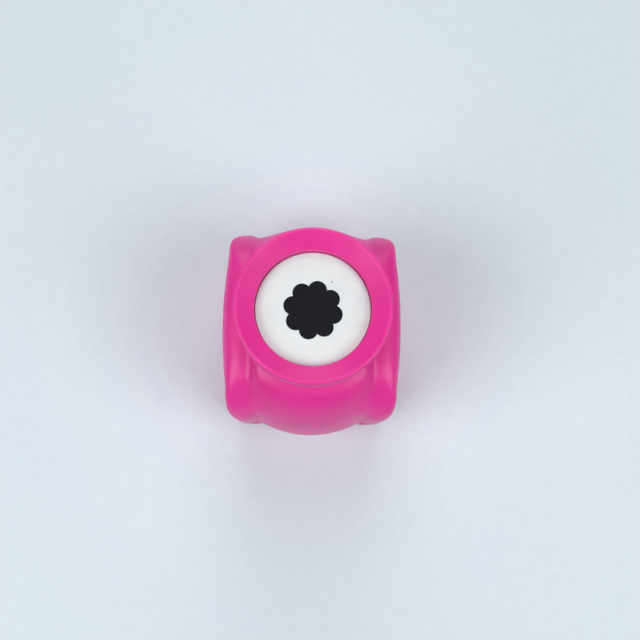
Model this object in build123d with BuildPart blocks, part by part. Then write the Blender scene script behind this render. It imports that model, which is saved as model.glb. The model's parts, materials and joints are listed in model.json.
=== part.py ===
from build123d import *
import os

# A small push-button craft punch. It stands on a table, the button's axis is Z, the paper goes in from
# the front (-Y), and the origin is where the button's axis meets the table. All sizes are millimetres.

# ---------------------------------------------------------------- driving dimensions
height = 43.0                # table to the rim of the button
button_travel = 6.0
press_gap = 0.6              # left between the button and the neck when it is pressed home
shell_wall = 1.8

# body: a round barrel between two rounded side cheeks
barrel_radius = 20.1
barrel_half_width = 10.3     # the barrel shows between the cheeks over this half width
barrel_top = 31.4            # flat deck round the neck
barrel_wall_top = 12.0       # the barrel is upright up to here, then curves in to the deck
deck_radius = 12.2           # radius of the deck, and of the neck's collar under it
cheek_half_width = 16.6      # at the middle of the cheek
cheek_end_half_width = 15.8  # the cheek's outer wall bows in to this near its ends
cheek_half_length = 18.2
cheek_bow_half_length = 12.0
cheek_top = 30.0
cheek_arch_radius = 12.5     # rounding of the cheek's top, front and back
cheek_edge_radius = 4.5      # rounding of the cheek's outer top edge
cheek_corner_radius = 4.0    # rounding of the cheek's upright corners
cheek_notch_depth = 1.6      # the cheeks are cut back this far beside the barrel
cheek_toe_radius = 1.3       # rounding of the cheek's ends towards the barrel

# die set, from the table up
die_bottom = 3.5
die_thickness = 2.0
paper_gap = 1.2
guide_thickness = 1.6
plate_half_width = 13.6
plate_front = -15.5
plate_back = 14.0
plate_corner_radius = 3.0
plate_clearance = 0.15
paper_stop_front = 7.5
paper_lead_in = 0.8          # chamfer along the front edges of the plates

# flower cut by the punch
petal_count = 8
petal_circle_radius = 3.42
petal_radius = 1.6
die_clearance = 0.05
guide_clearance = 0.08

# button
button_radius = 13.0
button_edge_radius = 0.4
flange_lower_edge = 0.5
rim_width = 0.5              # flat rim outside the thumb dish
dish_drop = 2.3              # the thumb dish slopes down to the label's recess
label_recess_radius = 9.75
label_recess_floor = 38.4
crown_thickness = 1.8
label_radius = 9.65
label_thickness = 0.8
label_edge = 0.1
print_depth = 0.3            # the printed flower is let into the label
print_proud = 0.03
print_turn = -12.0           # the label was stuck on this far out of square
print_shift = -0.2           # and this far in front of the middle
stem_radius = 10.6
stem_wall = 1.6
stem_bottom = 24.0
neck_radius = 10.69
neck_chamfer = 0.5
collar_bottom = 26.1
lug_count = 4
lug_reach = 11.9
lug_width = 4.0
lug_height = 1.7
lug_slot_width = 0.8
lug_slot_height = 7.0
lug_slot_angle = 17.0        # a slot this far to each side of a lug lets it spring inwards
boss_radius = 4.4
boss_bottom = 25.5
screw_well_radius = 2.9
screw_well_floor = 28.5
button_rib_width = 1.2
button_rib_bottom = 31.0

# punch, holder and spring
punch_tip_lift = 0.6         # at rest the punch's tip is this far up inside the guide plate
punch_top = 24.5
hollow_grind_radius = 14.0   # the tip is ground hollow, so that it cuts from its two ends inwards
hollow_grind_depth = 0.5
holder_radius = 8.0
holder_bottom = 23.0
holder_pilot_radius = 5.5
holder_pilot_height = 1.0
holder_chamfer = 0.4
spring_mean_radius = 6.7
spring_wire_radius = 0.5
spring_turns = 5.5
spring_end_gap = 0.02
seat_radius = 8.4
seat_bore_radius = 5.6
seat_thickness = 0.5
seat_rim_height = 1.2

# fasteners
rear_screw_place = (10.5, 11.2)
guide_screw_place = (10.5, -10.5)
base_screw_place = (6.5, -13.2)
rivet_place = (4.0, 10.8)
shank_radius = 1.2
shank_clearance = 0.15
thread_clearance = 0.04
head_radius = 2.1
head_height = 1.5
head_edge = 0.3
thread_end_chamfer = 0.3
head_recess = 0.9            # the heads are sunk this far above the base's underside
cross_length = 2.6
cross_width = 0.6
cross_depth = 0.8
rear_screw_top = 15.0
guide_screw_top = 13.0
base_screw_top = 5.3
thread_hole_spare = 1.0
boss_outer_radius = 2.6
rivet_shank_radius = 1.0
rivet_head_radius = 1.8
rivet_head_height = 0.6
rivet_head_room = 0.3
button_screw_head_radius = 2.4
button_screw_bottom = 18.0
washer_thickness = 0.5
washer_radius = 2.7

# base
window_radius = 8.5
window_chamfer = 1.0
base_inset = 0.5             # the base is this much smaller all round than the shell above it
foot_inset = 1.0             # and its lowest part is stepped in this far
foot_height = 0.8
mouth_chamfer = 1.0          # slope round the shell's lower edge, above the paper slot
pad_inner_radius = 10.6
pad_outer_radius = 12.0
pad_groove_depth = 0.8
pad_groove_clearance = 0.1

# ---------------------------------------------------------------- derived levels and places
die_top = die_bottom + die_thickness
guide_bottom = die_top + paper_gap
guide_top = guide_bottom + guide_thickness
seat_top = guide_top + seat_thickness
punch_bottom = guide_bottom + punch_tip_lift
flange_bottom = barrel_top + button_travel + press_gap
crown_bottom = label_recess_floor - crown_thickness
label_top = label_recess_floor + label_thickness
head_top = head_recess + head_height
screw_hole_radius = shank_radius + shank_clearance
thread_hole_radius = shank_radius + thread_clearance
head_hole_radius = head_radius + shank_clearance
front_trim_centre = paper_stop_front - barrel_radius


def both_sides(place):
    """The same place to the right and to the left of the middle."""
    x, y = place
    return [(x, y), (-x, y)]


def from_below(places, level):
    """Planes at some places of a level, looking down, for holes drilled from underneath."""
    return [Plane(origin=(x, y, level), z_dir=(0, 0, -1)) for x, y in places]


rear_screws_at = both_sides(rear_screw_place)
guide_screws_at = both_sides(guide_screw_place)
base_screws_at = both_sides(base_screw_place)
rivets_at = both_sides(rivet_place)

os.makedirs("parts", exist_ok=True)


# ---------------------------------------------------------------- shapes that several pieces share
def cheek_plan(inset=0.0, notched=True):
    """Plan of both cheeks as one outline: bowed sides, round corners, and notches that the barrel fills."""
    middle = cheek_half_width - inset
    end = cheek_end_half_width - inset
    back = cheek_half_length - inset
    bow = cheek_bow_half_length - inset
    with BuildSketch() as plan:
        with BuildLine():
            Polyline((-end, -bow), (-end, -back), (end, -back), (end, -bow))
            ThreePointArc((end, -bow), (middle, 0), (end, bow))
            Polyline((end, bow), (end, back), (-end, back), (-end, bow))
            ThreePointArc((-end, bow), (-middle, 0), (-end, -bow))
        make_face()
        corners = plan.vertices().filter_by(lambda corner: abs(corner.Y) > bow + 1)
        fillet(corners, cheek_corner_radius - inset / 2)
        if notched:
            with Locations((0, back), (0, -back)):
                Rectangle(2 * (barrel_half_width - inset), 2 * cheek_notch_depth, mode=Mode.SUBTRACT)
            toes = plan.vertices().filter_by(lambda corner: abs(corner.Y) > back - cheek_notch_depth / 2)
            toes = toes.filter_by(lambda corner: abs(corner.X) < barrel_half_width + inset)
            fillet(toes, cheek_toe_radius - inset / 2)
    return plan.sketch


def barrel_plan(inset=0.0):
    """Plan of the barrel: a circle cut off where the cheeks begin."""
    with BuildSketch() as plan:
        Circle(barrel_radius - inset)
        Rectangle(2 * (barrel_half_width - inset), 3 * barrel_radius, mode=Mode.INTERSECT)
    return plan.sketch


def cheeks(plan, inset=0.0):
    """Both cheeks as one solid, from the guide plate's underside to the arched top."""
    top = cheek_top - inset
    half_length = cheek_half_length - inset
    half_width = cheek_half_width - inset
    side_view = Plane.YZ.offset(-half_width)
    front_view = Plane.XZ.offset(-half_length)
    with BuildPart() as block:
        with BuildSketch(Plane.XY.offset(guide_bottom)):
            add(plan)
        extrude(amount=top - guide_bottom)
        with BuildSketch(side_view):
            with Locations((0, top - height / 2)):
                RectangleRounded(2 * half_length, height, cheek_arch_radius - inset / 2)
        extrude(amount=2 * half_width, mode=Mode.INTERSECT)
        with BuildSketch(front_view):
            with Locations((0, top - height / 2)):
                RectangleRounded(2 * half_width, height, cheek_edge_radius - inset / 2)
        extrude(amount=2 * half_length, mode=Mode.INTERSECT)
    return block.part


def barrel(plan, inset=0.0):
    """The barrel with its domed shoulder and flat deck."""
    radius = barrel_radius - inset
    top = barrel_top - inset
    shoulder_height = top - barrel_wall_top
    shoulder_width = radius - deck_radius
    with BuildPart() as body:
        with BuildSketch(Plane.XZ):
            with BuildLine():
                Polyline((0, top), (0, guide_bottom), (radius, guide_bottom), (radius, barrel_wall_top))
                EllipticalCenterArc(
                    (deck_radius, barrel_wall_top), shoulder_width, shoulder_height, arc_size=90
                )
                Line((deck_radius, top), (0, top))
            make_face()
        revolve(axis=Axis.Z)
        with BuildSketch(Plane.XY.offset(guide_bottom)):
            add(plan)
        extrude(amount=top - guide_bottom, mode=Mode.INTERSECT)
    return body.part


def flower(clearance=0.0):
    """The flower's outline: a ring of round petals about a filled middle."""
    with BuildSketch() as outline:
        Circle(petal_circle_radius)
        with PolarLocations(petal_circle_radius, petal_count):
            Circle(petal_radius + clearance)
    return outline.sketch


def plate_plan(grow=0.0):
    """Plan of the die set's plates."""
    width = 2 * (plate_half_width + grow)
    depth = plate_back - plate_front + 2 * grow
    with BuildSketch() as plan:
        with Locations((0, (plate_back + plate_front) / 2)):
            RectangleRounded(width, depth, plate_corner_radius)
    return plan.sketch


def cross_head_screws(places, head_level, shank_top):
    """A set of pan-head screws, driven from underneath, with cross recesses."""
    with BuildPart() as screws:
        with BuildSketch(Plane.XY.offset(head_level)):
            with Locations(*places):
                Circle(head_radius)
        extrude(amount=head_height)
        chamfer(screws.edges().group_by(Axis.Z)[0], head_edge)
        with BuildSketch(Plane.XY.offset(head_level + head_height)):
            with Locations(*places):
                Circle(shank_radius)
        extrude(amount=shank_top - head_level - head_height)
        chamfer(screws.edges().group_by(Axis.Z)[-1], thread_end_chamfer)
        with BuildSketch(Plane.XY.offset(head_level)):
            with Locations(*places):
                Rectangle(cross_length, cross_width)
                Rectangle(cross_width, cross_length)
        extrude(amount=cross_depth, mode=Mode.SUBTRACT)
    return screws.part


outer_cheek_plan = cheek_plan()
inner_cheek_plan = cheek_plan(shell_wall, notched=False)
outer_barrel_plan = barrel_plan()
base_cheek_plan = cheek_plan(base_inset)
base_barrel_plan = barrel_plan(base_inset)
foot_cheek_plan = cheek_plan(foot_inset)
foot_barrel_plan = barrel_plan(foot_inset)
inner_barrel_plan = barrel_plan(shell_wall)
outer_cheeks = cheeks(outer_cheek_plan)
inner_cheeks = cheeks(inner_cheek_plan, shell_wall)
outer_barrel = barrel(outer_barrel_plan)
inner_barrel = barrel(inner_barrel_plan, shell_wall)
punch_flower = flower()
die_flower = flower(die_clearance)
guide_flower = flower(guide_clearance)
plate_outline = plate_plan()
plate_pocket = plate_plan(plate_clearance)

# ---------------------------------------------------------------- upper shell
# the hollow inside: the outer shape moved in by one wall, less the screw bosses and the neck's collar
with BuildPart() as shell_hollow:
    add(inner_cheeks)
    add(inner_barrel)
    with BuildSketch(Plane.XY.offset(guide_top)):
        with Locations(*rear_screws_at, *guide_screws_at):
            Circle(boss_outer_radius)
    extrude(amount=height, mode=Mode.SUBTRACT)
    with BuildSketch(Plane.XY.offset(collar_bottom)):
        Circle(deck_radius)
    extrude(amount=height, mode=Mode.SUBTRACT)

with BuildPart() as upper_shell:
    add(outer_cheeks)
    add(outer_barrel)
    chamfer(upper_shell.faces().sort_by(Axis.Z)[0].outer_wire().edges(), mouth_chamfer)
    # round neck, a little prouder than the cheeks
    with BuildSketch(Plane.XY.offset(cheek_top - shell_wall)):
        Circle(deck_radius)
    extrude(amount=barrel_top - cheek_top + shell_wall)
    add(shell_hollow.part, mode=Mode.SUBTRACT)
    with BuildSketch(Plane.XY.offset(collar_bottom)):
        Circle(neck_radius)
    extrude(amount=height - collar_bottom, mode=Mode.SUBTRACT)
    neck_edge = upper_shell.edges().filter_by(GeomType.CIRCLE).group_by(Axis.Z)[-1].sort_by(SortBy.RADIUS)[0]
    chamfer(neck_edge, neck_chamfer)
    with Locations(*from_below(rear_screws_at, guide_top)):
        Hole(thread_hole_radius, rear_screw_top + thread_hole_spare - guide_top)
    with Locations(*from_below(guide_screws_at, guide_top)):
        Hole(thread_hole_radius, guide_screw_top + thread_hole_spare - guide_top)
upper_shell.part.label = "upper_shell"
export_step(upper_shell.part, "parts/upper_shell.step")

# ---------------------------------------------------------------- base shell
with BuildPart() as base_shell:
    with BuildSketch():
        add(foot_cheek_plan)
        add(foot_barrel_plan)
    extrude(amount=guide_bottom)
    with BuildSketch(Plane.XY.offset(foot_height)):
        add(base_cheek_plan)
        add(base_barrel_plan)
    extrude(amount=guide_bottom - foot_height)
    # in front of the paper stop the rim is level with the die
    with BuildSketch(Plane.XY.offset(die_top)):
        with Locations((0, front_trim_centre)):
            Rectangle(3 * barrel_radius, 2 * barrel_radius)
    extrude(amount=paper_gap, mode=Mode.SUBTRACT)
    # pocket for the die set
    with BuildSketch(Plane.XY.offset(die_bottom)):
        add(plate_pocket)
    extrude(amount=guide_bottom - die_bottom, mode=Mode.SUBTRACT)
    # window where the cut flowers fall out
    with BuildSketch():
        Circle(window_radius)
    extrude(amount=die_bottom, mode=Mode.SUBTRACT)
    chamfer(base_shell.faces().sort_by(Axis.Z)[0].inner_wires().edges(), window_chamfer)
    with Locations(*from_below(rear_screws_at + base_screws_at, 0)):
        CounterBoreHole(screw_hole_radius, head_hole_radius, head_top, die_bottom)
    # room for the rivets' lower heads
    with Locations(*[(x, y, die_bottom) for x, y in rivets_at]):
        Hole(rivet_head_radius + shank_clearance, rivet_head_height + rivet_head_room)
    # groove that holds the soft pad
    with BuildSketch():
        Circle(pad_outer_radius + pad_groove_clearance)
        Circle(pad_inner_radius - pad_groove_clearance, mode=Mode.SUBTRACT)
    extrude(amount=pad_groove_depth, mode=Mode.SUBTRACT)
base_shell.part.label = "base_shell"
export_step(base_shell.part, "parts/base_shell.step")

with BuildPart() as bottom_pad:
    with BuildSketch():
        Circle(pad_outer_radius)
        Circle(pad_inner_radius, mode=Mode.SUBTRACT)
    extrude(amount=pad_groove_depth)
bottom_pad.part.label = "bottom_pad"
export_step(bottom_pad.part, "parts/bottom_pad.step")

# ---------------------------------------------------------------- die set
with BuildPart() as die_plate:
    with BuildSketch(Plane.XY.offset(die_bottom)):
        add(plate_outline)
        add(die_flower, mode=Mode.SUBTRACT)
    extrude(amount=die_thickness)
    top_edges = die_plate.edges().filter_by(Axis.X).group_by(Axis.Z)[-1]
    chamfer(top_edges.sort_by(Axis.Y)[0], paper_lead_in)
    with Locations(*[(x, y, die_top) for x, y in rear_screws_at]):
        Hole(screw_hole_radius, die_thickness)
    with Locations(*[(x, y, die_top) for x, y in rivets_at]):
        Hole(rivet_shank_radius + thread_clearance, die_thickness)
    with Locations(*[(x, y, die_top) for x, y in base_screws_at]):
        Hole(thread_hole_radius, die_thickness)
    # way through for driving the guide plate's screws
    with Locations(*[(x, y, die_top) for x, y in guide_screws_at]):
        Hole(head_hole_radius, die_thickness)
die_plate.part.label = "die_plate"
export_step(die_plate.part, "parts/die_plate.step")

with BuildPart() as paper_stop:
    with BuildSketch(Plane.XY.offset(die_top)):
        add(plate_outline)
        with Locations((0, front_trim_centre)):
            Rectangle(3 * barrel_radius, 2 * barrel_radius, mode=Mode.SUBTRACT)
    extrude(amount=paper_gap)
    with Locations(*[(x, y, guide_bottom) for x, y in rear_screws_at]):
        Hole(screw_hole_radius, paper_gap)
    with Locations(*[(x, y, guide_bottom) for x, y in rivets_at]):
        Hole(rivet_shank_radius + thread_clearance, paper_gap)
paper_stop.part.label = "paper_stop"
export_step(paper_stop.part, "parts/paper_stop.step")

with BuildPart() as guide_plate:
    with BuildSketch(Plane.XY.offset(guide_bottom)):
        add(plate_outline)
        add(guide_flower, mode=Mode.SUBTRACT)
    extrude(amount=guide_thickness)
    bottom_edges = guide_plate.edges().filter_by(Axis.X).group_by(Axis.Z)[0]
    chamfer(bottom_edges.sort_by(Axis.Y)[0], paper_lead_in)
    with Locations(*[(x, y, guide_top) for x, y in rear_screws_at]):
        Hole(screw_hole_radius, guide_thickness)
    with Locations(*[(x, y, guide_top) for x, y in rivets_at]):
        Hole(rivet_shank_radius + thread_clearance, guide_thickness)
    with Locations(*from_below(guide_screws_at, guide_bottom)):
        CounterSinkHole(screw_hole_radius, head_hole_radius, guide_thickness, 90)
guide_plate.part.label = "guide_plate"
export_step(guide_plate.part, "parts/guide_plate.step")

with BuildPart() as die_rivets:
    with BuildSketch(Plane.XY.offset(die_bottom - rivet_head_height)):
        with Locations(*rivets_at):
            Circle(rivet_head_radius)
    extrude(amount=rivet_head_height)
    with BuildSketch(Plane.XY.offset(die_bottom)):
        with Locations(*rivets_at):
            Circle(rivet_shank_radius)
    extrude(amount=guide_top - die_bottom)
    with BuildSketch(Plane.XY.offset(guide_top)):
        with Locations(*rivets_at):
            Circle(rivet_head_radius)
    extrude(amount=rivet_head_height)
    chamfer(die_rivets.edges().group_by(Axis.Z)[-1], rivet_head_height / 2)
    chamfer(die_rivets.edges().group_by(Axis.Z)[0], rivet_head_height / 2)
die_rivets.part.label = "die_rivets"
export_step(die_rivets.part, "parts/die_rivets.step")

# ---------------------------------------------------------------- screws in the fixed parts
rear_screw_pair = cross_head_screws(rear_screws_at, head_recess, rear_screw_top)
with BuildPart() as rear_screws:
    add(rear_screw_pair)
rear_screws.part.label = "rear_screws"
export_step(rear_screws.part, "parts/rear_screws.step")

base_screw_pair = cross_head_screws(base_screws_at, head_recess, base_screw_top)
with BuildPart() as base_screws:
    add(base_screw_pair)
base_screws.part.label = "base_screws"
export_step(base_screws.part, "parts/base_screws.step")

with BuildPart() as guide_screws:
    # countersunk heads, level with the plate
    with BuildSketch(Plane.XY.offset(guide_bottom)):
        with Locations(*guide_screws_at):
            Circle(head_radius)
    extrude(amount=head_radius - shank_radius, taper=45)
    with BuildSketch(Plane.XY.offset(guide_bottom)):
        with Locations(*guide_screws_at):
            Circle(shank_radius)
    extrude(amount=guide_screw_top - guide_bottom)
    chamfer(guide_screws.edges().group_by(Axis.Z)[-1], thread_end_chamfer)
    with BuildSketch(Plane.XY.offset(guide_bottom)):
        with Locations(*guide_screws_at):
            Rectangle(cross_length, cross_width)
            Rectangle(cross_width, cross_length)
    extrude(amount=cross_depth, mode=Mode.SUBTRACT)
guide_screws.part.label = "guide_screws"
export_step(guide_screws.part, "parts/guide_screws.step")

# ---------------------------------------------------------------- button
inner_stem_radius = stem_radius - stem_wall
with BuildPart() as press_button:
    with BuildSketch(Plane.XZ):
        with BuildLine():
            Polyline(
                (inner_stem_radius, stem_bottom),
                (stem_radius, stem_bottom),
                (stem_radius, flange_bottom),
                (button_radius, flange_bottom),
                (button_radius, height),
                (button_radius - rim_width, height),
                (label_recess_radius, height - dish_drop),
                (label_recess_radius, label_recess_floor),
                (screw_well_radius, label_recess_floor),
                (screw_well_radius, screw_well_floor),
                (screw_hole_radius, screw_well_floor),
                (screw_hole_radius, boss_bottom),
                (boss_radius, boss_bottom),
                (boss_radius, crown_bottom),
                (inner_stem_radius, crown_bottom),
                close=True,
            )
        make_face()
    revolve(axis=Axis.Z)
    widest_edges = press_button.edges().filter_by(GeomType.CIRCLE).group_by(SortBy.RADIUS)[-1]
    fillet(widest_edges.sort_by(Axis.Z)[0], flange_lower_edge)
    widest_edges = press_button.edges().filter_by(GeomType.CIRCLE).group_by(SortBy.RADIUS)[-1]
    fillet(widest_edges.sort_by(Axis.Z)[-1], button_edge_radius)
    # cross ribs between the boss and the stem
    with BuildSketch(Plane.XY.offset(button_rib_bottom)):
        Rectangle(2 * stem_radius - stem_wall, button_rib_width)
        Rectangle(button_rib_width, 2 * stem_radius - stem_wall)
        Circle(boss_radius, mode=Mode.SUBTRACT)
    extrude(amount=crown_bottom - button_rib_bottom)
    # lugs that stop the stem under the collar
    with BuildSketch(Plane.XY.offset(stem_bottom)):
        with PolarLocations(stem_radius, lug_count, start_angle=45):
            Rectangle(2 * (lug_reach - stem_radius) + stem_wall, lug_width)
        Circle(lug_reach, mode=Mode.INTERSECT)
        Circle(stem_radius - stem_wall / 2, mode=Mode.SUBTRACT)
    extrude(amount=lug_height)
    # slots beside the lugs
    with BuildSketch(Plane.XY.offset(stem_bottom)):
        for side in (-lug_slot_angle, lug_slot_angle):
            with PolarLocations(stem_radius - stem_wall / 2, lug_count, start_angle=45 + side):
                Rectangle(2 * stem_wall, lug_slot_width)
    extrude(amount=lug_slot_height, mode=Mode.SUBTRACT)
press_button.part.label = "press_button"
export_step(press_button.part, "parts/press_button.step")

with BuildPart() as flower_print:
    print_place = Location((0, print_shift, label_top - print_depth), (0, 0, print_turn))
    with BuildSketch(Plane(print_place)):
        add(punch_flower)
    extrude(amount=print_depth + print_proud)
flower_print.part.label = "flower_print"
export_step(flower_print.part, "parts/flower_print.step")

with BuildPart() as label_disc:
    with BuildSketch(Plane.XY.offset(label_recess_floor)):
        Circle(label_radius)
    extrude(amount=label_thickness)
    chamfer(label_disc.edges().group_by(Axis.Z)[-1], label_edge)
    add(flower_print.part, mode=Mode.SUBTRACT)
label_disc.part.label = "label_disc"
export_step(label_disc.part, "parts/label_disc.step")

with BuildPart() as screw_washer:
    with BuildSketch(Plane.XY.offset(screw_well_floor)):
        Circle(washer_radius)
        Circle(screw_hole_radius, mode=Mode.SUBTRACT)
    extrude(amount=washer_thickness)
screw_washer.part.label = "screw_washer"
export_step(screw_washer.part, "parts/screw_washer.step")

with BuildPart() as button_screw:
    head_bottom = screw_well_floor + washer_thickness
    with BuildSketch(Plane.XY.offset(head_bottom)):
        Circle(button_screw_head_radius)
    extrude(amount=head_height)
    chamfer(button_screw.edges().group_by(Axis.Z)[-1], head_edge)
    with BuildSketch(Plane.XY.offset(button_screw_bottom)):
        Circle(shank_radius)
    extrude(amount=head_bottom - button_screw_bottom)
    chamfer(button_screw.edges().group_by(Axis.Z)[0], thread_end_chamfer)
    with BuildSketch(Plane.XY.offset(head_bottom + head_height - cross_depth)):
        Rectangle(cross_length, cross_width)
        Rectangle(cross_width, cross_length)
    extrude(amount=cross_depth, mode=Mode.SUBTRACT)
button_screw.part.label = "button_screw"
export_step(button_screw.part, "parts/button_screw.step")

# ---------------------------------------------------------------- punch, holder and spring
with BuildPart() as flower_punch:
    with BuildSketch(Plane.XY.offset(punch_bottom)):
        add(punch_flower)
    extrude(amount=punch_top - punch_bottom)
    # hollow ground across the tip
    grind_axis_height = punch_bottom + hollow_grind_depth - hollow_grind_radius
    with BuildSketch(Plane.XZ.offset(-hollow_grind_radius)):
        with Locations((0, grind_axis_height)):
            Circle(hollow_grind_radius)
    extrude(amount=2 * hollow_grind_radius, mode=Mode.SUBTRACT)
    with Locations((0, 0, punch_top)):
        Hole(thread_hole_radius, punch_top - button_screw_bottom + thread_hole_spare)
flower_punch.part.label = "flower_punch"
export_step(flower_punch.part, "parts/flower_punch.step")

with BuildPart() as punch_holder:
    with BuildSketch(Plane.XY.offset(holder_bottom)):
        Circle(holder_radius)
    extrude(amount=boss_bottom - holder_bottom)
    chamfer(punch_holder.edges(), holder_chamfer)
    with BuildSketch(Plane.XY.offset(holder_bottom - holder_pilot_height)):
        Circle(holder_pilot_radius)
    extrude(amount=holder_pilot_height)
    # pocket for the punch, and the screw's hole above it
    with BuildSketch(Plane.XY.offset(holder_bottom - holder_pilot_height)):
        add(punch_flower)
    extrude(amount=punch_top - holder_bottom + holder_pilot_height, mode=Mode.SUBTRACT)
    with Locations((0, 0, boss_bottom)):
        Hole(screw_hole_radius, boss_bottom - punch_top)
punch_holder.part.label = "punch_holder"
export_step(punch_holder.part, "parts/punch_holder.step")

with BuildPart() as spring_seat:
    with BuildSketch(Plane.XY.offset(guide_top)):
        Circle(seat_radius)
        Circle(seat_bore_radius, mode=Mode.SUBTRACT)
    extrude(amount=seat_thickness)
    with BuildSketch(Plane.XY.offset(seat_top)):
        Circle(seat_radius)
        Circle(seat_radius - seat_thickness, mode=Mode.SUBTRACT)
    extrude(amount=seat_rim_height)
spring_seat.part.label = "spring_seat"
export_step(spring_seat.part, "parts/spring_seat.step")

wire_start = seat_top + spring_wire_radius + spring_end_gap
wire_end = holder_bottom - spring_wire_radius - spring_end_gap
with BuildPart() as return_spring:
    with BuildLine(Plane.XY.offset(wire_start)) as spring_path:
        Helix(
            pitch=(wire_end - wire_start) / spring_turns,
            height=wire_end - wire_start,
            radius=spring_mean_radius,
        )
    with BuildSketch(Plane(origin=spring_path.line @ 0, z_dir=spring_path.line % 0)):
        Circle(spring_wire_radius)
    sweep()
return_spring.part.label = "return_spring"
export_step(return_spring.part, "parts/return_spring.step")
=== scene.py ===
import json
import math

import bmesh
import bpy
import numpy as np
from mathutils import Matrix, Vector


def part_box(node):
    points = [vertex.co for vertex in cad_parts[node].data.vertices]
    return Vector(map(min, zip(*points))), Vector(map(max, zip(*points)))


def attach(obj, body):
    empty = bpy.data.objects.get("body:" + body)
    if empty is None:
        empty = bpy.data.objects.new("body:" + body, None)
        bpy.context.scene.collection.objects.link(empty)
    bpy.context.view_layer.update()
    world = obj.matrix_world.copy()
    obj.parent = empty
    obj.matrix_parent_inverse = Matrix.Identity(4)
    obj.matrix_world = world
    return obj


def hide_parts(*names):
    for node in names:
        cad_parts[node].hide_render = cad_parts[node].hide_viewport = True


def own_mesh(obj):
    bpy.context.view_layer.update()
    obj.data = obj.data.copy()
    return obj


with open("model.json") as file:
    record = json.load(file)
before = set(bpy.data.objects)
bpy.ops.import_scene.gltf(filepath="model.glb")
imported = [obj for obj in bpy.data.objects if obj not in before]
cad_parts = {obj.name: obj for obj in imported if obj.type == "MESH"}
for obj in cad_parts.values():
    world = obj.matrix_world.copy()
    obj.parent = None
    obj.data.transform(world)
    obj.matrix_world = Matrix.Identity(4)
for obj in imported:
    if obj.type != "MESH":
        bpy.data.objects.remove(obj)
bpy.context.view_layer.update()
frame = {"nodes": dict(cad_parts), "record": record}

# Craft punch. Lengths below are in millimetres unless a name says otherwise; MM turns them into metres.
MM = 0.001
scene = bpy.context.scene


def node_box(name):
    """Lowest and highest corners of a CAD node, in millimetres."""
    low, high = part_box(name)
    return Vector(low) / MM, Vector(high) / MM


LABEL_TOP = node_box("label_disc")[1].z
SPECK_PLACE = Vector((3.1, 4.6, LABEL_TOP))   # a small spot of stray ink beside the printed flower


# ------------------------------------------------------------------ materials
def colour(red, green, blue):
    """A linear colour from 0-255 screen values."""
    def linear(value):
        value /= 255
        return value / 12.92 if value <= 0.04045 else ((value + 0.055) / 1.055) ** 2.4
    return (linear(red), linear(green), linear(blue), 1.0)


class Paint:
    """A node material being built round one Principled shader."""

    def __init__(self, name, **sockets):
        self.material = bpy.data.materials.new(name)
        self.material.use_nodes = True
        self.tree = self.material.node_tree
        self.shader = self.tree.nodes["Principled BSDF"]
        self.place = self.node("ShaderNodeTexCoord").outputs["Object"]
        for key, value in sockets.items():
            self.shader.inputs[key.replace("_", " ")].default_value = value

    def node(self, kind, **settings):
        made = self.tree.nodes.new(kind)
        for key, value in settings.items():
            setattr(made, key, value)
        return made

    def link(self, source, target):
        self.tree.links.new(source, target)

    def noise(self, size_mm, detail=3.0, rough=0.5, stretch=(1, 1, 1)):
        """Noise whose blotches are about size_mm across."""
        mapping = self.node("ShaderNodeMapping")
        mapping.inputs["Scale"].default_value = [s / (size_mm * MM) for s in stretch]
        self.link(self.place, mapping.inputs["Vector"])
        made = self.node("ShaderNodeTexNoise")
        made.inputs["Scale"].default_value = 1.0
        made.inputs["Detail"].default_value = detail
        made.inputs["Roughness"].default_value = rough
        self.link(mapping.outputs["Vector"], made.inputs["Vector"])
        return made.outputs["Fac"]

    def ramp(self, source, *stops):
        """A colour ramp over source; each stop is (position, colour)."""
        made = self.node("ShaderNodeValToRGB")
        elements = made.color_ramp.elements
        while len(elements) < len(stops):
            elements.new(0.5)
        for element, (position, value) in zip(elements, stops):
            element.position = position
            element.color = value
        self.link(source, made.inputs["Fac"])
        return made.outputs["Color"]

    def levels(self, source, low_in, high_in, low_out, high_out):
        """Source's range low_in to high_in mapped to low_out to high_out, and held there."""
        made = self.node("ShaderNodeMapRange", clamp=True)
        limits = {"From Min": low_in, "From Max": high_in, "To Min": low_out, "To Max": high_out}
        for key, value in limits.items():
            made.inputs[key].default_value = value
        self.link(source, made.inputs["Value"])
        return made.outputs["Result"]

    def feed(self, sockets, values):
        """Gives each socket its value, which is another node's socket or a constant."""
        for socket, value in zip(sockets, values):
            if isinstance(value, bpy.types.NodeSocket):
                self.link(value, socket)
            else:
                socket.default_value = value

    def mix(self, factor, first, second):
        """Mixes two colours; each is a socket or a fixed colour."""
        made = self.node("ShaderNodeMix", data_type="RGBA")
        self.feed((made.inputs["Factor"], made.inputs[6], made.inputs[7]), (factor, first, second))
        return made.outputs[2]

    def math(self, operation, *values):
        made = self.node("ShaderNodeMath", operation=operation)
        self.feed(made.inputs, values)
        return made.outputs["Value"]

    def pointiness(self):
        return self.node("ShaderNodeNewGeometry").outputs["Pointiness"]

    def base(self, source):
        self.link(source, self.shader.inputs["Base Color"])

    def roughness(self, source):
        self.link(source, self.shader.inputs["Roughness"])

    def bump(self, height, depth_mm, strength=1.0):
        made = self.node("ShaderNodeBump")
        made.inputs["Strength"].default_value = strength
        made.inputs["Distance"].default_value = depth_mm * MM
        if self.shader.inputs["Normal"].is_linked:
            self.link(self.shader.inputs["Normal"].links[0].from_socket, made.inputs["Normal"])
        self.link(height, made.inputs["Height"])
        self.link(made.outputs["Normal"], self.shader.inputs["Normal"])


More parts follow.
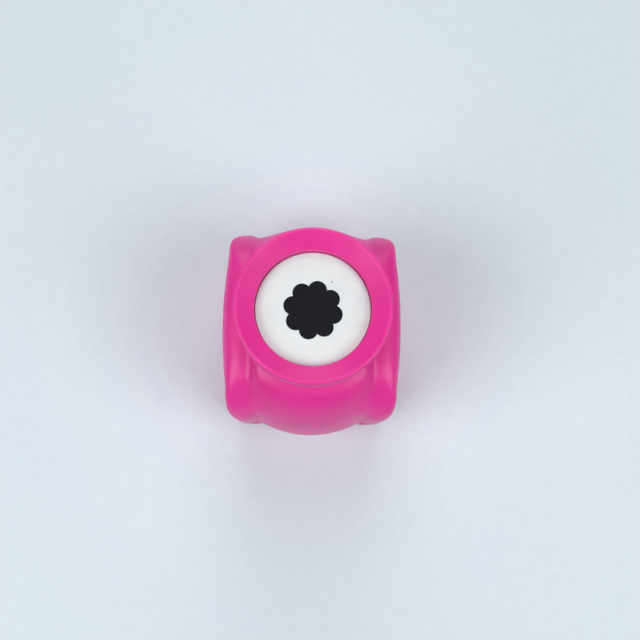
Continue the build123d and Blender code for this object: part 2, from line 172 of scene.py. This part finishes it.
def pink_plastic():
    """Moulded pink plastic: faint flow clouds, fine orange peel, small rubbed and dusty marks."""
    paint = Paint(
        "pink_plastic", IOR=1.4, Coat_Weight=0.15, Coat_Roughness=0.2, Coat_IOR=1.4,
        Subsurface_Weight=0.12, Subsurface_Scale=0.0012,
    )
    paint.shader.inputs["Subsurface Radius"].default_value = (1.0, 0.35, 0.6)
    clouds = paint.noise(9, detail=4)
    tint = paint.ramp(clouds, (0.3, colour(234, 50, 152)), (0.7, colour(243, 62, 164)))
    marks = paint.levels(paint.noise(0.9, detail=6, rough=0.65), 0.66, 0.76, 0.0, 0.16)
    tint = paint.mix(marks, tint, colour(244, 96, 178))
    worn = paint.levels(paint.pointiness(), 0.56, 0.68, 0.0, 0.3)
    paint.base(paint.mix(worn, tint, colour(250, 104, 184)))
    gloss = paint.levels(paint.noise(3.5, detail=5, rough=0.6), 0.3, 0.7, 0.36, 0.46)
    paint.roughness(gloss)
    paint.bump(paint.noise(0.35, detail=2), 0.004, 0.5)
    paint.bump(paint.noise(2.2, detail=2), 0.01, 0.35)
    return paint.material


def label_plastic():
    """White label film: nearly clean, with a few faint handling marks and one small ink speck."""
    paint = Paint("white_label", IOR=1.46)
    clouds = paint.noise(4, detail=4)
    tint = paint.ramp(clouds, (0.3, colour(220, 232, 231)), (0.7, colour(227, 237, 236)))
    smudge = paint.levels(paint.noise(1.3, detail=6, rough=0.7), 0.62, 0.75, 0.0, 0.12)
    tint = paint.mix(smudge, tint, colour(200, 204, 206))
    away = paint.node("ShaderNodeVectorMath", operation="DISTANCE")
    paint.link(paint.place, away.inputs[0])
    away.inputs[1].default_value = SPECK_PLACE * MM
    ragged = paint.math("MULTIPLY_ADD", paint.noise(0.15), 0.15 * MM, away.outputs["Value"])
    speck = paint.levels(ragged, 0.2 * MM, 0.28 * MM, 0.7, 0.0)
    paint.base(paint.mix(speck, tint, colour(110, 116, 126)))
    paint.roughness(paint.levels(paint.noise(2, detail=5), 0.3, 0.7, 0.36, 0.5))
    paint.bump(paint.noise(0.5, detail=3), 0.003, 0.4)
    return paint.material


def black_ink():
    """Screen-printed ink: blue-black, slightly uneven cover, matt."""
    paint = Paint("black_print", IOR=1.3)
    cover = paint.noise(0.5, detail=5, rough=0.7)
    paint.base(paint.ramp(cover, (0.35, colour(3, 8, 14)), (0.75, colour(10, 18, 26))))
    paint.roughness(paint.levels(cover, 0.3, 0.7, 0.55, 0.7))
    paint.bump(paint.noise(0.22, detail=3), 0.005, 0.5)
    return paint.material


def steel(name, tone, grain_mm, stretch, low, high, scratch=0.35):
    """Bright steel with a directional grain, stains and rubbed edges."""
    paint = Paint(name, Metallic=1.0)
    grain = paint.noise(grain_mm, detail=4, rough=0.6, stretch=stretch)
    stain = paint.noise(3.0, detail=5, rough=0.6)
    dark = tuple(c * 0.72 for c in tone[:3]) + (1.0,)
    tint = paint.ramp(grain, (0.3, dark), (0.7, tone))
    tint = paint.mix(paint.levels(stain, 0.45, 0.7, 0.0, scratch), tint, dark)
    edge = paint.levels(paint.pointiness(), 0.55, 0.65, 0.0, 0.6)
    paint.base(paint.mix(edge, tint, tuple(min(1.0, c * 1.25) for c in tone[:3]) + (1.0,)))
    paint.roughness(paint.levels(grain, 0.3, 0.7, low, high))
    paint.bump(grain, 0.006, 0.5)
    return paint.material


def pad_rubber():
    """Dark foam rubber with a coarse grain and paper dust."""
    paint = Paint("pad_rubber", IOR=1.5)
    grain = paint.noise(0.3, detail=5, rough=0.7)
    tint = paint.ramp(grain, (0.3, colour(40, 41, 44)), (0.7, colour(62, 63, 66)))
    dust = paint.levels(paint.noise(1.2, detail=6, rough=0.7), 0.58, 0.72, 0.0, 0.4)
    paint.base(paint.mix(dust, tint, colour(120, 118, 116)))
    paint.roughness(paint.levels(grain, 0.3, 0.7, 0.65, 0.85))
    paint.bump(grain, 0.01, 0.6)
    return paint.material


def paper_floor():
    """Pale matt paper with a faint tooth."""
    paint = Paint("paper_floor", IOR=1.4)
    tooth = paint.noise(2.2, detail=6, rough=0.6)
    blots = paint.noise(45, detail=4)
    tint = paint.ramp(blots, (0.3, colour(222, 234, 242)), (0.7, colour(227, 238, 245)))
    paint.base(paint.mix(paint.levels(tooth, 0.35, 0.7, 0.0, 0.3), tint, colour(214, 225, 234)))
    paint.shader.inputs["Roughness"].default_value = 0.75
    paint.bump(tooth, 0.03, 0.35)
    return paint.material


# ------------------------------------------------------------------ mesh helpers
def add_object(name, mesh, body, material):
    """An object that rides on a CAD body and takes one material slot."""
    made = bpy.data.objects.new(name, mesh)
    scene.collection.objects.link(made)
    mesh.materials.clear()
    mesh.materials.append(material)
    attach(made, body)
    return made


def smooth_mesh(name, points, faces, sharp_angle=35):
    """A mesh from points in millimetres, smooth except across sharp edges."""
    mesh = bpy.data.meshes.new(name)
    mesh.from_pydata([tuple(c * MM for c in p) for p in points], [], faces)
    mesh.validate()
    shaper = bmesh.new()
    shaper.from_mesh(mesh)
    bmesh.ops.recalc_face_normals(shaper, faces=shaper.faces)
    shaper.to_mesh(mesh)
    shaper.free()
    mesh.shade_smooth()
    mesh.set_sharp_from_angle(angle=math.radians(sharp_angle))
    return mesh


def grid_faces(rows, columns, close_rows, close_columns):
    """Quads of a grid of points stored row by row."""
    faces = []
    for i in range(rows if close_rows else rows - 1):
        for j in range(columns if close_columns else columns - 1):
            here, above = i * columns, (i + 1) % rows * columns
            c, d = j, (j + 1) % columns
            faces.append((here + c, here + d, above + d, above + c))
    return faces


def rounded_profile(corners, steps=6):
    """A closed (r, z) outline with each corner (r, z, radius) rounded by an arc."""
    outline = []
    count = len(corners)
    for i, (r, z, radius) in enumerate(corners):
        here = Vector((r, z))
        if radius <= 0:
            outline.append((r, z))
            continue
        back = Vector(corners[i - 1][:2]) - here
        ahead = Vector(corners[(i + 1) % count][:2]) - here
        half = back.angle(ahead) / 2
        reach = radius / math.tan(half)
        start, end = here + back.normalized() * reach, here + ahead.normalized() * reach
        centre = here + (back.normalized() + ahead.normalized()).normalized() * (radius / math.sin(half))
        a, b = start - centre, end - centre
        turn = a.angle_signed(b)
        for k in range(steps + 1):
            angle = -turn * k / steps
            outline.append((
                centre.x + a.x * math.cos(angle) - a.y * math.sin(angle),
                centre.y + a.x * math.sin(angle) + a.y * math.cos(angle),
            ))
    return outline


def fine_profile(outline, step):
    """The same closed outline with no side longer than step, so that worn edges shade evenly."""
    points = []
    for (r0, z0), (r1, z1) in zip(outline, outline[1:] + outline[:1]):
        count = max(1, math.ceil(math.hypot(r1 - r0, z1 - z0) / step))
        points += [(r0 + (r1 - r0) * k / count, z0 + (z1 - z0) * k / count) for k in range(count)]
    return points


def lathe_part(outline, segments, middle=(0, 0)):
    """Points and faces of a solid of revolution about an upright axis, from a closed outline."""
    points = []
    for r, z in outline:
        for j in range(segments):
            angle = 2 * math.pi * j / segments
            points.append((r * math.cos(angle) + middle[0], r * math.sin(angle) + middle[1], z))
    return points, grid_faces(len(outline), segments, True, True)


def loft_part(rings):
    """Points and faces of a solid through closed rings of equal length, capped at both ends."""
    points = [tuple(p) for one in rings for p in one]
    count = len(rings[0])
    faces = grid_faces(len(rings), count, False, True)
    faces.append(tuple(range(count)))
    faces.append(tuple(range(len(points) - 1, len(points) - count - 1, -1)))
    return points, faces


def joined_mesh(name, parts, sharp_angle=35):
    """One mesh from several (points, faces) parts."""
    points, faces = [], []
    for part_points, part_faces in parts:
        start = len(points)
        points += part_points
        faces += [tuple(start + k for k in face) for face in part_faces]
    return smooth_mesh(name, points, faces, sharp_angle)


# ------------------------------------------------------------------ upper shell
SHELL_LOW, SHELL_HIGH = node_box("upper_shell")
BUTTON_LOW, BUTTON_HIGH = node_box("press_button")
WALL = 1.8
BARREL_RADIUS = SHELL_HIGH.y
BARREL_HALF_WIDTH = 10.3
BARREL_WALL_TOP = 12.0      # the barrel is upright up to here, then curves in to the deck
BARREL_EDGE_BLEND = 1.2
DECK = SHELL_HIGH.z
DECK_RADIUS = 12.2
NECK_RADIUS = 10.69
COLLAR_BOTTOM = 26.1
CHEEK_HALF_WIDTH = SHELL_HIGH.x
CHEEK_END_DROP = 0.8        # how far a cheek's side falls back from its middle to its ends
CHEEK_BOW = 12.0            # half length of that bow
CHEEK_HALF_LENGTH = 18.2
CHEEK_TOP = 30.0
CHEEK_DEPTH = 30.0          # half height of the tall block that a cheek's top is cut from
CHEEK_ARCH = 12.5           # radius of the end arches, seen from the side
CHEEK_EDGE = 4.5            # radius of the long top edge
CHEEK_CORNER = 4.0
CHEEK_BLEND = 1.2
CHEEK_NOTCH = 1.6
NOTCH_BLEND = 1.6
CREASE_BLEND = 1.6          # hollow between cheeks and barrel
NECK_BLEND = 1.0
MOUTH_CHAMFER = 1.0
SWEEP_CENTRE = 16.0         # height on the axis from which the dome is swept
SCREW_POSTS = ((10.5, 11.2, 16), (10.5, -10.5, 14))   # x and y, on both sides, and the tapped hole's top


def soft_max(a, b, k):
    """Greater of two fields, rounded over a width k."""
    h = np.clip(k - np.abs(a - b), 0, None)
    return np.maximum(a, b) + h * h / (4 * k)


def soft_min(a, b, k):
    return -soft_max(-a, -b, k)


def rounded_box(a, b, half_a, half_b, radius):
    """Signed distance to a rounded rectangle."""
    qa, qb = np.abs(a) - half_a + radius, np.abs(b) - half_b + radius
    return np.minimum(np.maximum(qa, qb), 0) + np.hypot(np.maximum(qa, 0), np.maximum(qb, 0)) - radius


def body_field(x, y, z, notched=True):
    """Signed distance, nearly, to the outside of the upper shell."""
    bow = CHEEK_END_DROP * np.clip(np.abs(y) / CHEEK_BOW, 0, 1) ** 2
    spread = x + np.sign(x) * bow
    height = z - CHEEK_TOP + CHEEK_DEPTH
    plan = rounded_box(spread, y, CHEEK_HALF_WIDTH, CHEEK_HALF_LENGTH, CHEEK_CORNER)
    side = rounded_box(y, height, CHEEK_HALF_LENGTH, CHEEK_DEPTH, CHEEK_ARCH)
    front = rounded_box(spread, height, CHEEK_HALF_WIDTH, CHEEK_DEPTH, CHEEK_EDGE)
    cheeks = soft_max(soft_max(plan, side, CHEEK_BLEND), front, CHEEK_BLEND)
    if notched:
        # the cheeks' ends are cut back beside the barrel, along a line from its axis
        meet_y = math.sqrt(BARREL_RADIUS ** 2 - BARREL_HALF_WIDTH ** 2)
        beside = (BARREL_HALF_WIDTH * np.abs(y) - meet_y * np.abs(x)) / BARREL_RADIUS
        beyond = np.abs(y) - CHEEK_HALF_LENGTH + CHEEK_NOTCH
        cheeks = soft_max(cheeks, np.minimum(beside, beyond), NOTCH_BLEND)
    r = np.hypot(x, y)
    over = np.maximum(r - DECK_RADIUS, 0) / (BARREL_RADIUS - DECK_RADIUS)
    up = np.maximum(z - BARREL_WALL_TOP, 0) / (DECK - BARREL_WALL_TOP)
    reach = np.hypot(over, up)
    slope = np.hypot(over / (BARREL_RADIUS - DECK_RADIUS), up / (DECK - BARREL_WALL_TOP)) + 1e-9
    dome = (reach - 1) * reach / slope
    barrel = np.where(z > BARREL_WALL_TOP, dome, r - BARREL_RADIUS)
    barrel = soft_max(barrel, np.abs(x) - BARREL_HALF_WIDTH, BARREL_EDGE_BLEND)
    neck = soft_max(r - DECK_RADIUS, z - DECK, 0.5)
    return soft_min(soft_min(cheeks, barrel, CREASE_BLEND), neck, NECK_BLEND)


def reach_of_field(ox, oz, angle, tilt, inset):
    """Distance along rays, from axis points, to where the field is -inset."""
    dx, dy, dz = np.cos(angle) * np.cos(tilt), np.sin(angle) * np.cos(tilt), np.sin(tilt)
    low, high = np.zeros_like(angle), np.full_like(angle, 40.0)
    for _ in range(34):
        middle = (low + high) / 2
        inside = body_field(ox + dx * middle, dy * middle, oz + dz * middle, inset < WALL) < -inset
        low, high = np.where(inside, middle, low), np.where(inside, high, middle)
    return (low + high) / 2


def ring(level, tilt, inset, place_z=None):
    """One ring of the shell's surface, made from a quarter that is mirrored."""
    side_steps, front_steps = 44, 40
    crease = math.radians(60)
    for _ in range(6):
        one = np.array([crease])
        rho = reach_of_field(0.0, level, one, tilt, inset)[0] * math.cos(tilt)
        crease = math.acos(min(0.86, (BARREL_HALF_WIDTH - inset) / rho))
    t = np.linspace(0, 1, side_steps, endpoint=False)
    s = np.linspace(0, 1, front_steps + 1)
    side = crease * (1 - (1 - t) ** 1.7)
    front = crease + (math.pi / 2 - crease) * s ** 1.7
    quarter = np.concatenate([side, front])
    angles = np.concatenate([
        quarter, math.pi - quarter[-2::-1], math.pi + quarter[1:], 2 * math.pi - quarter[-2:0:-1],
    ])
    rho = reach_of_field(0.0, level, angles, tilt, inset)
    x = rho * np.cos(angles) * math.cos(tilt)
    y = rho * np.sin(angles) * math.cos(tilt)
    z = np.full_like(x, place_z) if place_z is not None else level + rho * math.sin(tilt)
    return np.stack([x, y, z], axis=1)


def circle_ring(like, radius, z):
    """A round ring with its points at the same bearings as another ring."""
    bearing = np.arctan2(like[:, 1], like[:, 0])
    return np.stack([radius * np.cos(bearing), radius * np.sin(bearing), np.full(len(like), z)], axis=1)


def screw_boss(x, y, hole_top):
    """A tapped post inside the shell; its top is buried in the shell's roof."""
    low, roof, hole, outside = node_box("guide_plate")[1].z, 27.2, 1.24, 2.6
    outline = rounded_profile([
        (hole, low, 0.15), (outside, low, 0.15), (outside, roof, 0),
        (0.02, roof, 0), (0.02, hole_top, 0), (hole, hole_top, 0),
    ], 3)
    return lathe_part(outline, 48, (x, y))


def make_upper_shell(material):
    """The shell as one skin: up the outside, over the deck, down the neck's bore and down the inside."""
    low = SHELL_LOW.z
    rings = []
    for slope in np.linspace(0, math.pi / 2, 5):
        inset = MOUTH_CHAMFER * (1 - math.sin(slope))
        height = low + MOUTH_CHAMFER * (1 - math.cos(slope))
        rings.append(ring(low + MOUTH_CHAMFER, 0.0, inset, height))
    for z in np.linspace(low + MOUTH_CHAMFER, SWEEP_CENTRE, 10)[1:]:
        rings.append(ring(z, 0.0, 0.0))
    neck_tilt = math.atan2(DECK - SWEEP_CENTRE, DECK_RADIUS)
    for tilt in np.linspace(0, neck_tilt + 0.06, 64)[1:]:
        rings.append(ring(SWEEP_CENTRE, tilt, 0.0))
    last = rings[-1]
    rings += [circle_ring(last, radius, z) for radius, z in (
        (11.6, DECK), (11.2, DECK), (11.0, DECK - 0.06), (10.8, DECK - 0.22), (NECK_RADIUS, DECK - 0.5),
        (NECK_RADIUS, COLLAR_BOTTOM + 0.2), (NECK_RADIUS + 0.2, COLLAR_BOTTOM),
        (DECK_RADIUS, COLLAR_BOTTOM), (DECK_RADIUS, DECK - WALL),
    )]
    inner_tilt = math.atan2(CHEEK_TOP - WALL - SWEEP_CENTRE, DECK_RADIUS + 0.2)
    for tilt in np.linspace(inner_tilt, 0, 22):
        rings.append(ring(SWEEP_CENTRE, tilt, WALL))
    for z in np.linspace(SWEEP_CENTRE, low, 5)[1:]:
        rings.append(ring(z, 0.0, WALL))
    skin = np.concatenate(rings).tolist(), grid_faces(len(rings), len(rings[0]), True, True)
    posts = [screw_boss(side * x, y, hole_top) for x, y, hole_top in SCREW_POSTS for side in (-1, 1)]
    mesh = joined_mesh("upper_shell_skin", [skin] + posts, 50)
    made = add_object("upper_shell_skin", mesh, "housing", material)
    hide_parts("upper_shell")


# ------------------------------------------------------------------ press button
def sector(outline, start, end, steps=10):
    """Part of a ring between two bearings in degrees, from its (r, z) outline."""
    rings = []
    for k in range(steps + 1):
        angle = math.radians(start + (end - start) * k / steps)
        rings.append([(r * math.cos(angle), r * math.sin(angle), z) for r, z in outline])
    return loft_part(rings)


def snap_skirt(inner, outer, low, high):
    """The slotted lower end of the stem: springy tongues with lugs, and plain walls between them."""
    lug_reach, lug_top = 11.9, low + 1.7
    slot_at, slot_half, lug_half = 17.0, 2.16, 10.9   # degrees either side of a tongue's middle
    wall = rounded_profile([(inner, low, 0.2), (outer, low, 0.2), (outer, high, 0), (inner, high, 0)], 3)
    root = outer - 0.5
    lug = rounded_profile([
        (root, low, 0.2), (lug_reach, low, 0.35), (lug_reach, lug_top, 0.15), (root, lug_top, 0),
    ], 3)
    parts = []
    for middle in (45, 135, 225, 315):
        parts.append(sector(wall, middle - slot_at + slot_half, middle + slot_at - slot_half))
        parts.append(sector(wall, middle + slot_at + slot_half, middle + 90 - slot_at - slot_half, 16))
        parts.append(sector(lug, middle - lug_half, middle + lug_half))
    return parts


def crown_ribs(inner, outer, low, high):
    """Four ribs from the boss to the stem, under the crown."""
    half = 0.6
    section = rounded_profile([(-half, low, 0.25), (half, low, 0.25), (half, high, 0), (-half, high, 0)], 3)
    parts = []
    for bearing in (0, 90, 180, 270):
        turn = Matrix.Rotation(math.radians(bearing), 3, "Z")
        rings = [[tuple(turn @ Vector((r, w, z))) for w, z in section] for r in (inner, outer)]
        parts.append(loft_part(rings))
    return parts


def make_button(material):
    """The cap with its thumb dish and label recess, the screw boss, and the stem."""
    top = BUTTON_HIGH.z
    radius = BUTTON_HIGH.x
    underside = 38.0
    dish_drop, rim_width = 2.3, 0.55
    recess_floor = node_box("label_disc")[0].z
    recess_radius = node_box("label_disc")[1].x + 0.1
    crown_underside = recess_floor - 1.8
    stem, inner_stem = 10.6, 9.0
    stem_low = BUTTON_LOW.z
    slot_top = stem_low + 7
    well, well_floor = 2.9, 28.5
    boss, boss_bottom, screw_hole = 4.4, 25.5, 1.35
    corners = [
        (inner_stem, slot_top, 0),
        (stem, slot_top, 0),
        (stem, underside, 0.3),
        (radius, underside, 0.5),
        (radius, top, 0.4),
        (radius - rim_width, top, 0.3),
        (recess_radius, top - dish_drop, 0.22),
        (recess_radius, recess_floor, 0),
        (well, recess_floor, 0.2),
        (well, well_floor, 0),
        (screw_hole, well_floor, 0),
        (screw_hole, boss_bottom, 0),
        (boss, boss_bottom, 0.2),
        (boss, crown_underside, 0.4),
        (inner_stem, crown_underside, 0.4),
    ]
    parts = [lathe_part(fine_profile(rounded_profile(corners), 0.6), 224)]
    parts += snap_skirt(inner_stem + 0.02, stem - 0.02, stem_low, slot_top + 0.2)
    parts += crown_ribs(boss - 0.1, inner_stem + 0.1, 31.0, crown_underside + 0.1)
    mesh = joined_mesh("press_button_skin", parts)
    made = add_object("press_button_skin", mesh, "button", material)
    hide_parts("press_button")


# ------------------------------------------------------------------ return spring
def make_return_spring(material):
    """A compression spring with closed end coils, ground flat."""
    low, high = node_box("return_spring")
    wire = 0.5
    coil = high.x - wire
    turns, closed, steps, around = 5.5, 0.8, 48, 14
    foot, head = low.z + wire - 0.15, high.z - wire + 0.15
    rise = (head - foot) / 2 - wire * 2 * closed
    rings = []
    for k in range(int(turns * steps) + 1):
        turn = k / steps
        from_end = min(turn, turns - turn)
        free = max(0.0, from_end - closed) / (turns / 2 - closed)
        height = wire * 2 * min(from_end, closed) + rise * free
        z = foot + height if turn <= turns / 2 else head - height
        angle = 2 * math.pi * turn
        section = []
        for j in range(around):
            a = 2 * math.pi * j / around
            r = coil + wire * math.cos(a)
            ground = min(max(z + wire * math.sin(a), low.z), high.z)
            section.append((r * math.cos(angle), r * math.sin(angle), ground))
        rings.append(section)
    mesh = joined_mesh("return_spring_wire", [loft_part(rings)], 60)
    made = add_object("return_spring_wire", mesh, "housing", material)
    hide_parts("return_spring")
    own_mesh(made)


# ------------------------------------------------------------------ build
slot_paint = {
    "pink_plastic": pink_plastic(),
    "white_label": label_plastic(),
    "black_print": black_ink(),
    "die_steel": steel("die_steel", colour(205, 205, 208), 0.5, (1, 8, 1), 0.24, 0.4),
    "plated_steel": steel("plated_steel", colour(214, 214, 216), 0.4, (1, 1, 1), 0.2, 0.36, 0.2),
    "spring_steel": steel("spring_steel", colour(176, 177, 180), 0.3, (1, 1, 1), 0.25, 0.4),
    "holder_zinc": steel("holder_zinc", colour(186, 188, 190), 0.8, (1, 1, 1), 0.35, 0.55),
    "pad_rubber": pad_rubber(),
}
slot_of = {part["node"]: part["material_slot"] for part in frame["record"]["subparts"]}
for name, node in frame["nodes"].items():
    for material_slot in node.material_slots:
        material_slot.material = slot_paint[slot_of[name]]

make_upper_shell(slot_paint["pink_plastic"])
make_button(slot_paint["pink_plastic"])
make_return_spring(slot_paint["spring_steel"])

# ------------------------------------------------------------------ floor, lights and camera
bpy.ops.mesh.primitive_grid_add(x_subdivisions=8, y_subdivisions=8, size=4.0, location=(0, 0, 0))
floor = bpy.context.object
floor.name = "paper_table"
floor.data.materials.append(paper_floor())


def area_light(name, place, target, size, watts, tint=(1, 1, 1)):
    """A square lamp at place, turned to target."""
    light = bpy.data.lights.new(name, "AREA")
    light.size = size * MM
    light.energy = watts
    light.color = tint
    made = bpy.data.objects.new(name, light)
    made.location = Vector(place) * MM
    made.rotation_euler = (Vector(target) - Vector(place)).to_track_quat("-Z", "Y").to_euler()
    scene.collection.objects.link(made)


warm = (1, 0.995, 0.99)
area_light("left_lamp", (-190, -95, 250), (0, 0, 10), 190, 0.52, warm)
area_light("right_lamp", (190, -95, 250), (0, 0, 10), 190, 0.48, warm)
area_light("back_lamp", (0, 220, 320), (0, 0, 10), 200, 0.34)
area_light("low_back_lamp", (0, 312, 159), (0, 0, 20), 200, 0.24)

world = bpy.data.worlds.new("soft_room")
world.use_nodes = True
room = world.node_tree.nodes["Background"]
room.inputs["Color"].default_value = (0.93, 0.96, 1.0, 1)
room.inputs["Strength"].default_value = 0.06
scene.world = world
scene.view_settings.view_transform = "Standard"

TILT = math.radians(9.75)         # the camera looks down, and this much towards the back
LEAN = math.radians(1.26)         # and this much towards the right
ROLL = math.radians(0.55)
DISTANCE = 124.5                  # from the lens to the top of the button
SHIFT_RIGHT, SHIFT_DOWN = 1.07, 2.5
look = Vector((math.sin(LEAN), math.sin(TILT), 0))
look.z = -math.sqrt(1 - look.length_squared)
up = (Vector((0, 1, 0)) - look * look.y).normalized()
right = look.cross(up)
right, up = right * math.cos(ROLL) + up * math.sin(ROLL), up * math.cos(ROLL) - right * math.sin(ROLL)
button_top = Vector((0, 0, BUTTON_HIGH.z))
eye = button_top + right * SHIFT_RIGHT - up * SHIFT_DOWN - look * DISTANCE
lens = bpy.data.cameras.new("camera")
lens.sensor_width = 36
lens.lens = 43.4
lens.clip_start = 0.005
camera = bpy.data.objects.new("camera", lens)
camera.matrix_world = Matrix.Translation(eye * MM) @ Matrix((right, up, -look)).transposed().to_4x4()
scene.collection.objects.link(camera)
scene.camera = camera
